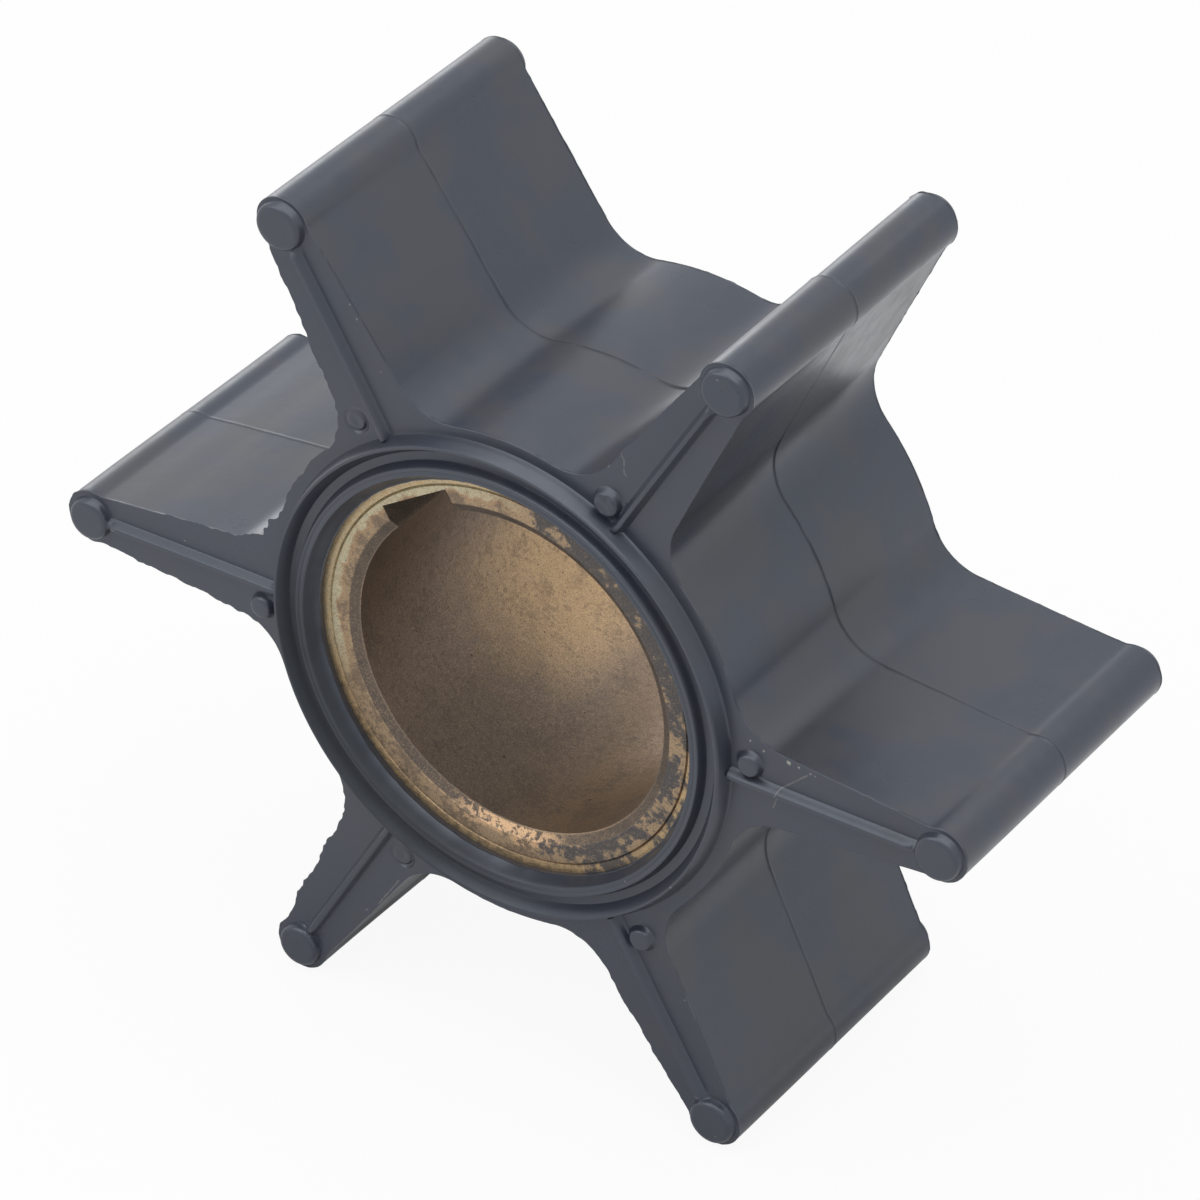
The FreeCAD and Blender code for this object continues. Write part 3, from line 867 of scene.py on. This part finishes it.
def rubber_finish():
    """Blue-black rubber with browner blotches, pale flecks and scratches, dirt on one pin, and painted
    shade in its seams and on the lower left of the front rings.
    """
    finish = Finish("moulded_rubber")
    blotches = finish.noise(*RUBBER_BLOTCHES)
    mottle = finish.noise(*RUBBER_MOTTLE)
    grain = finish.noise(*RUBBER_GRAIN)
    ragged = finish.noise(*RAGGED_EDGES)

    colour = finish.mix(finish.step(blotches, *BROWN_STEP), RUBBER_BLUE, RUBBER_BROWN)
    on_end = finish.step(finish.math("ABSOLUTE", finish.y), *END_STEP)
    colour = finish.coat(colour, on_end, END_SHARE, RUBBER_END)
    colour = finish.mix(finish.step(mottle, *BROWN_MOTTLE_STEP), colour, RUBBER_BROWN)

    on_front = finish.product(finish.front, on_end)
    wobble = finish.math("MULTIPLY", finish.math("SUBTRACT", ragged, 0.5), EDGE_WOBBLE)
    lines = []
    for vane, places in SCRATCHES:
        corners = [on_vane(vane, reach, across) for reach, across in places]
        lines += [finish.from_line(start, end) for start, end in zip(corners, corners[1:])]
    scratch = finish.step(finish.math("ADD", finish.nearest(*lines), wobble), *SCRATCH_STEP)
    colour = finish.mix(finish.product(scratch, on_front), colour, DUST)

    spots = [(on_vane(vane, reach, across), radius) for vane, reach, across, radius in FLECKS]
    spots += [(around(*place), RING_FLECK_RADIUS) for place in RING_FLECKS]
    borders = [finish.math("SUBTRACT", finish.from_point(point), radius) for point, radius in spots]
    fleck = finish.step(finish.math("ADD", finish.nearest(*borders), wobble), *FLECK_STEP)
    colour = finish.mix(finish.product(fleck, on_front), colour, CHAFED)
    colour = finish.coat(colour, finish.dots(*CHAFED_DOTS), CHAFED_SHARE, CHAFED)

    # Painted shade of the seams, read from the mesh
    painted_shade = finish.node("Attribute", attribute_name="painted_shade").outputs["Fac"]
    colour = finish.coat(colour, painted_shade, SEAM_SHADE_SHARE, SHADE_AND_DIRT)
    pin_place = on_vane(DIRTY_PIN, *PINS[DIRTY_PIN][:2])
    pin = finish.step(finish.from_point(pin_place), *PIN_TOP_STEP)
    mottled_pin = finish.product(pin, finish.step(finish.noise(*PIN_DIRT), *PIN_DIRT_STEP), on_front)
    colour = finish.coat(colour, mottled_pin, PIN_DIRT_SHARE, SHADE_AND_DIRT)
    # Painted shade on the front rings along the lower left
    shaded_rings = finish.band(finish.radius, *PAINTED_SHADE_RINGS)
    lower_left_shade = finish.product(finish.toward(*PAINTED_SHADE_SIDE), shaded_rings, finish.front)
    colour = finish.coat(colour, lower_left_shade, PAINTED_SHADE_SHARE, SHADE_AND_DIRT)
    painted_shade = finish.strongest(painted_shade, lower_left_shade)

    finish.use("Base Color", colour)
    gloss = finish.step(blotches, *GLOSS_STEP)
    gloss = finish.math("ADD", gloss, finish.step(mottle, *GLOSS_MOTTLE_STEP))
    dullness = finish.math("MULTIPLY", painted_shade, SHADE_DULLNESS)
    finish.use("Roughness", finish.math("ADD", gloss, dullness, clamp=True))
    finish.use("IOR", RUBBER_IOR)
    finish.use("Specular Tint", RUBBER_GLOSS)
    finish.use("Normal", finish.bump(grain, RUBBER_GRAIN_BUMP, finish.bump(mottle, MOTTLE_BUMP)))
    return finish.material


# Brass
BRASS_TAN = (0.38, 0.275, 0.175, 1)
BRASS_CREAM = (0.54, 0.49, 0.34, 1)
BRASS_GOLD = (0.54, 0.385, 0.21, 1)
BRASS_ORANGE = (0.40, 0.25, 0.14, 1)
BRASS_COPPER = (0.60, 0.40, 0.24, 1)
BRASS_BROWN = (0.21, 0.155, 0.110, 1)
# Dark brown for tarnish, also laid on as painted shade in the keyway and a painted dark reflection in
# the bore
TARNISH_AND_SHADE = (0.095, 0.078, 0.067, 1)
# The bore's brass as a shaded and a lit copy: painted shade over most of it, painted glow where light
# reflects in
BORE_SHADED = (0.215, 0.162, 0.125, 1)
BORE_GLOW = (0.50, 0.345, 0.200, 1)
RUBBER_SMEAR = (0.026, 0.029, 0.039, 1)
SPECK = (0.02, 0.017, 0.014, 1)

BRASS_STAINS = (0.55, 5.0, 0.62)
BRASS_FINE = (3.2, 4.0, 0.6)
BRASS_GRAIN = (12.0, 2.0, 0.6)
FINE_SHARE = 0.6
RAGGED_STEP = (0.35, 0.65, -0.22, 0.22)
# The face, with a line scored in it, the chamfer and the keyway, told apart by radius and height
SCORE_RADIUS = 11.2
SCORE_STEP = (SCORE_RADIUS - 0.15, SCORE_RADIUS - 0.12)
SCORE_FLOOR = 8.9
FACE_STEP = (BRASS_END - 0.06, BRASS_END - 0.02)
CHAMFER_STEP = (9.56, 9.62)
CHAMFER_FOOT = 8.75
KEY_HEADING = 122.9
KEY_STEP = (9.55, 9.75)

# The bore is tarnished in patches. It is painted brighter where it widens to the back, a glow standing
# in for light reflected through the open back end, and painted darker toward the front on one side,
# standing in for a reflection of the dark keyway
BORE_RAGGED_STEP = (0.3, 0.7, -1.6, 1.6)
GLOW_STEP = (-4.0, 6.0)
GLOW_SIDE = (217, 15, 28)
FAINT_GLOW_SIDE = (290, 22, 20)
FAINT_GLOW_SHARE = 0.25
BORE_TARNISH_STEP = (0.46, 0.66, 0.0, 0.35)
REFLECTED_KEY_SIDE = (248, 20, 16)
REFLECTED_KEY_STEP = (-1.0, 5.0, 1.0, 0.0)
REFLECTED_KEY_SHARE = 0.45
CHAMFER_TARNISH_STEP = (0.35, 0.6, 0.95, 0.55)
KEYWAY_SHADE_SHARE = 0.75

# The end face is tan, with a pale ring of old seal on the left, and a golden rim and copper flakes
TAN_STEP = (0.40, 0.58)
SEAL_INNER = 10.72
SEAL_STEP = (SEAL_INNER - 0.10, SEAL_INNER + 0.14)
SEAL_SIDE = (144, 52, 14)
SEAL_FINE_STEP = (0.3, 0.6, 0.6, 1.0)
SEAL_EDGE_STEP = (SEAL_INNER - 0.26, SEAL_INNER - 0.02)
SEAL_EDGE_SIDE = (144, 56, 14)
SEAL_EDGE_SHARE = 0.7
RIM_STEP = (SCORE_RADIUS, SCORE_RADIUS + 0.12)
RIM_FINE_STEP = (0.35, 0.65, 0.3, 0.9)
FLAKE_SIDE = (270, 16, 8)
FLAKE_FINE_STEP = (0.44, 0.52)
FLAKE_REACH_STEP = (10.45, 10.6, 1.0, 0.0)

# Rubber is smeared over the right of the face, with gold showing between
SMEAR_SIDES = [((42, 46, 10), 1.0), ((305, 12, 6), 1.0), ((345, 30, 14), 0.88)]
INNER_SMEAR_SIDE = (320, 46, 12)
INNER_SMEAR_STEP = (10.78, 11.0, 1.0, 0.0)
INNER_SMEAR_SHARE = 0.95
FILM_THICKNESS = 1.18
FILM_STEP = (0.50, 0.64)
SMEAR_SHARE = 0.9

BIG_SPECKS = (0.7, 0.11, 0.75)
SMALL_SPECKS = (1.6, 0.06, 0.70)
SPECK_SHARE = 0.8
GRAIN_TARNISH_STEP = (0.45, 0.70, 0.0, 0.5)
GRAIN_GOLD_STEP = (0.30, 0.50, 0.25, 0.0)
METAL_STEP = (0.2, 0.6, 0.85, 0.0)
BRASS_ROUGH_STEP = (0.3, 0.7, 0.42, 0.54)
SMEAR_DULLNESS = 0.1
TURNING_MARKS = (5.0, 3.0, 0.6)
TURNING_BUMP = 0.008
BRASS_GRAIN_BUMP = 0.010


def brass_finish():
    """Tarnished turned brass, stained and smeared on its front face, with a painted glow and a painted
    dark reflection in the bore and painted shade in the keyway.
    """
    finish = Finish("bush_brass")
    stains = finish.noise(*BRASS_STAINS)
    fine = finish.noise(*BRASS_FINE)
    grain = finish.noise(*BRASS_GRAIN)
    fine_part = finish.math("MULTIPLY", finish.math("SUBTRACT", fine, 0.5), FINE_SHARE)
    mottled = finish.math("ADD", stains, fine_part)
    ragged = finish.math("ADD", finish.radius, finish.step(stains, *RAGGED_STEP))
    from_middle = finish.math("ABSOLUTE", finish.y)
    score = finish.product(finish.step(finish.radius, *SCORE_STEP),
                           finish.math("GREATER_THAN", from_middle, SCORE_FLOOR))
    face = finish.strongest(score, finish.step(from_middle, *FACE_STEP))
    front_face = finish.product(face, finish.front)
    chamfer = finish.product(finish.step(finish.radius, *CHAMFER_STEP),
                             finish.math("GREATER_THAN", from_middle, CHAMFER_FOOT))

    depth = finish.math("ADD", finish.y, finish.step(mottled, *BORE_RAGGED_STEP))
    # Painted glow in the bore toward the back on two sides, standing in for light reflected through its
    # back end
    painted_light_share = finish.product(finish.step(depth, *GLOW_STEP), finish.toward(*GLOW_SIDE))
    faint_glow = finish.product(finish.toward(*FAINT_GLOW_SIDE), FAINT_GLOW_SHARE)
    colour = finish.mix(finish.strongest(painted_light_share, faint_glow), BORE_SHADED, BORE_GLOW)
    colour = finish.mix(finish.step(mottled, *BORE_TARNISH_STEP), colour, TARNISH_AND_SHADE)
    # Painted reflection of the dark keyway, darkening one side of the bore toward the front
    reflected_key = finish.product(finish.toward(*REFLECTED_KEY_SIDE), finish.step(depth, *REFLECTED_KEY_STEP))
    colour = finish.coat(colour, reflected_key, REFLECTED_KEY_SHARE, TARNISH_AND_SHADE)
    tarnished = finish.product(chamfer, finish.step(mottled, *CHAMFER_TARNISH_STEP))
    colour = finish.mix(tarnished, colour, TARNISH_AND_SHADE)

    face_colour = finish.mix(finish.step(mottled, *TAN_STEP), BRASS_BROWN, BRASS_TAN)
    seal = finish.product(finish.toward(*SEAL_SIDE), finish.front, finish.step(ragged, *SEAL_STEP))
    seal_edge = finish.product(finish.toward(*SEAL_EDGE_SIDE), finish.front,
                               finish.step(ragged, *SEAL_EDGE_STEP))
    face_colour = finish.coat(face_colour, seal_edge, SEAL_EDGE_SHARE, BRASS_ORANGE)
    seal = finish.product(seal, finish.step(fine, *SEAL_FINE_STEP))
    face_colour = finish.mix(seal, face_colour, BRASS_CREAM)
    rim = finish.product(finish.step(finish.radius, *RIM_STEP), finish.step(fine, *RIM_FINE_STEP))
    face_colour = finish.mix(rim, face_colour, BRASS_GOLD)
    colour = finish.mix(face, colour, face_colour)
    flakes = finish.product(finish.toward(*FLAKE_SIDE), finish.step(fine, *FLAKE_FINE_STEP),
                            finish.step(ragged, *FLAKE_REACH_STEP))
    flakes = finish.product(flakes, finish.strongest(face, chamfer), finish.front)
    colour = finish.mix(flakes, colour, BRASS_COPPER)

    smeared = [finish.product(finish.toward(*side), share) for side, share in SMEAR_SIDES]
    inner = finish.step(ragged, *INNER_SMEAR_STEP)
    smeared.append(finish.product(finish.toward(*INNER_SMEAR_SIDE), inner, INNER_SMEAR_SHARE))
    film = finish.math("MULTIPLY", finish.strongest(*smeared), FILM_THICKNESS)
    film = finish.math("SUBTRACT", film, mottled)
    smear = finish.product(finish.step(film, *FILM_STEP), front_face)
    colour = finish.coat(colour, smear, SMEAR_SHARE, RUBBER_SMEAR)

    # Painted shade in the keyway
    toward_key = finish.vector("DOT_PRODUCT", finish.level, in_plane(around(KEY_HEADING)))
    in_keyway = finish.product(finish.math("GREATER_THAN", toward_key, 0.0),
                               finish.step(finish.radius, *KEY_STEP),
                               finish.math("SUBTRACT", 1.0, face),
                               finish.math("SUBTRACT", 1.0, chamfer))
    colour = finish.coat(colour, in_keyway, KEYWAY_SHADE_SHARE, TARNISH_AND_SHADE)
    specks = finish.strongest(finish.dots(*BIG_SPECKS), finish.dots(*SMALL_SPECKS))
    colour = finish.coat(colour, specks, SPECK_SHARE, SPECK)
    colour = finish.mix(finish.step(grain, *GRAIN_TARNISH_STEP), colour, TARNISH_AND_SHADE)
    colour = finish.mix(finish.step(grain, *GRAIN_GOLD_STEP), colour, BRASS_GOLD)

    finish.use("Base Color", colour)
    finish.use("Metallic", finish.step(smear, *METAL_STEP))
    rough = finish.step(fine, *BRASS_ROUGH_STEP)
    finish.use("Roughness", finish.math("ADD", rough, finish.product(smear, SMEAR_DULLNESS)))
    rings = finish.node("CombineXYZ", {0: finish.radius, 1: finish.y}).outputs[0]
    turning = finish.noise(*TURNING_MARKS, rings)
    finish.use("Normal", finish.bump(grain, BRASS_GRAIN_BUMP, finish.bump(turning, TURNING_BUMP)))
    return finish.material


# Floor, world and lamps
WHITE = (1, 1, 1, 1)
FLOOR_HALF = 2.0
FLOOR_COLOUR = (0.62, 0.62, 0.62, 1)
FLOOR_TO_CAMERA = 0.93
FLOOR_TO_MIRRORS = 0.28
# The floor's white fades to that share in the object's own shade, between two distances
SHADE_NEAR = 20.0
SHADE_FAR = 42.0
SOFT_LIGHT = 0.74
# How much more of the soft light comes from behind than from the front
BACK_LIGHT = 0.4
# Place and width in metres, and watts
LAMPS = {
    "lamp_above": ((0.03, -0.04, 0.58), 0.9, 3.0),
    "lamp_left": ((-0.40, 0.36, 0.03), 0.26, 0.30),
    "lamp_front": ((-0.12, -0.16, 0.13), 0.16, 0.12),
}


def build_floor():
    """Matte to the light that falls on it, and its own white to the camera and in mirrors."""
    mesh = bpy.data.meshes.new("studio_floor")
    corners = [(-FLOOR_HALF, -FLOOR_HALF, 0), (FLOOR_HALF, -FLOOR_HALF, 0),
               (FLOOR_HALF, FLOOR_HALF, 0), (-FLOOR_HALF, FLOOR_HALF, 0)]
    mesh.from_pydata(corners, [], [(0, 1, 2, 3)])
    floor = bpy.data.objects.new("studio_floor", mesh)
    floor.location.z = FLOOR * MM
    bpy.context.scene.collection.objects.link(floor)
    material = bpy.data.materials.new("floor_white")
    material.use_nodes = True
    material.node_tree.nodes.clear()
    nodes = Nodes(material.node_tree)
    matte = nodes.node("BsdfDiffuse", {"Color": FLOOR_COLOUR})
    glow = nodes.node("Emission", {"Strength": 1.0})
    away = nodes.vector("LENGTH", nodes.node("TexCoord").outputs["Object"], (0, 0, 0))
    shade = {"Value": away, "From Min": SHADE_NEAR * MM, "From Max": SHADE_FAR * MM,
             "To Min": FLOOR_TO_MIRRORS, "To Max": 1.0}
    share = nodes.own_white(FLOOR_TO_CAMERA, nodes.node("MapRange", shade).outputs[0])
    mixed = nodes.node("MixShader", {0: share, 1: matte.outputs[0], 2: glow.outputs[0]})
    nodes.node("OutputMaterial", {0: mixed.outputs[0]})
    mesh.materials.append(material)


def build_world():
    """White to the camera and in reflections, and a plain soft light on everything else."""
    world = bpy.data.worlds.new("studio_world")
    bpy.context.scene.world = world
    world.use_nodes = True
    world.node_tree.nodes.clear()
    nodes = Nodes(world.node_tree)
    direction = nodes.node("TexCoord").outputs["Generated"]
    toward_back = nodes.node("SeparateXYZ", {0: direction}).outputs[1]
    from_back = nodes.math("ADD", nodes.math("MULTIPLY", toward_back, BACK_LIGHT), 1.0)
    light = nodes.math("MULTIPLY", from_back, SOFT_LIGHT)
    soft = nodes.node("Background", {"Color": WHITE, "Strength": light})
    white = nodes.node("Background", {"Color": WHITE, "Strength": 1.0})
    share = nodes.own_white(1.0, 1.0)
    mixed = nodes.node("MixShader", {0: share, 1: soft.outputs[0], 2: white.outputs[0]})
    nodes.node("OutputWorld", {0: mixed.outputs[0]})


def soft_lamp(name, place, width, watts):
    """A round lamp that points at the origin."""
    data = bpy.data.lights.new(name, "AREA")
    data.shape = "DISK"
    data.size = width
    data.energy = watts
    lamp = bpy.data.objects.new(name, data)
    lamp.location = place
    lamp.rotation_euler = (-Vector(place)).to_track_quat("-Z", "Y").to_euler()
    bpy.context.scene.collection.objects.link(lamp)


# Camera, in the photograph's place
AZIMUTH = math.radians(34.05)
ELEVATION = math.radians(35.27)
ROLL = math.radians(0.31)
DISTANCE = 14.7866 * TIP_RADIUS
ASIDE = -0.0126 * TIP_RADIUS
RISE = -0.0150 * TIP_RADIUS
LENS = 225.0
SENSOR_WIDTH = 36.0
CLIP_START = 0.01
CLIP_END = 10.0


def build_camera():
    """A long lens aimed a little beside the origin, and rolled a little."""
    right = Vector((math.cos(AZIMUTH), math.sin(AZIMUTH), 0))
    back = Vector((math.sin(AZIMUTH) * math.cos(ELEVATION),
                   -math.cos(AZIMUTH) * math.cos(ELEVATION), math.sin(ELEVATION)))
    up = back.cross(right)
    rolled_right = right * math.cos(ROLL) + up * math.sin(ROLL)
    rolled_up = up * math.cos(ROLL) - right * math.sin(ROLL)
    data = bpy.data.cameras.new("photo_camera")
    data.lens = LENS
    data.sensor_width = SENSOR_WIDTH
    data.clip_start = CLIP_START
    data.clip_end = CLIP_END
    camera = bpy.data.objects.new("photo_camera", data)
    place = rolled_right * ASIDE + rolled_up * RISE + back * DISTANCE
    turn = Matrix((rolled_right, rolled_up, back)).transposed().to_4x4()
    camera.matrix_world = Matrix.Translation(place * MM) @ turn
    bpy.context.scene.collection.objects.link(camera)
    bpy.context.scene.camera = camera


rotor = build_rotor()
rotor.data.materials.append(rubber_finish())
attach(rotor, "root")
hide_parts("rubber_rotor")

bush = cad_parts["brass_hub_bush"]
bush.data.materials.clear()
bush.data.materials.append(brass_finish())

build_floor()
build_world()
for lamp_name, lamp_settings in LAMPS.items():
    soft_lamp(lamp_name, *lamp_settings)
build_camera()
bpy.context.scene.view_settings.view_transform = "Standard"
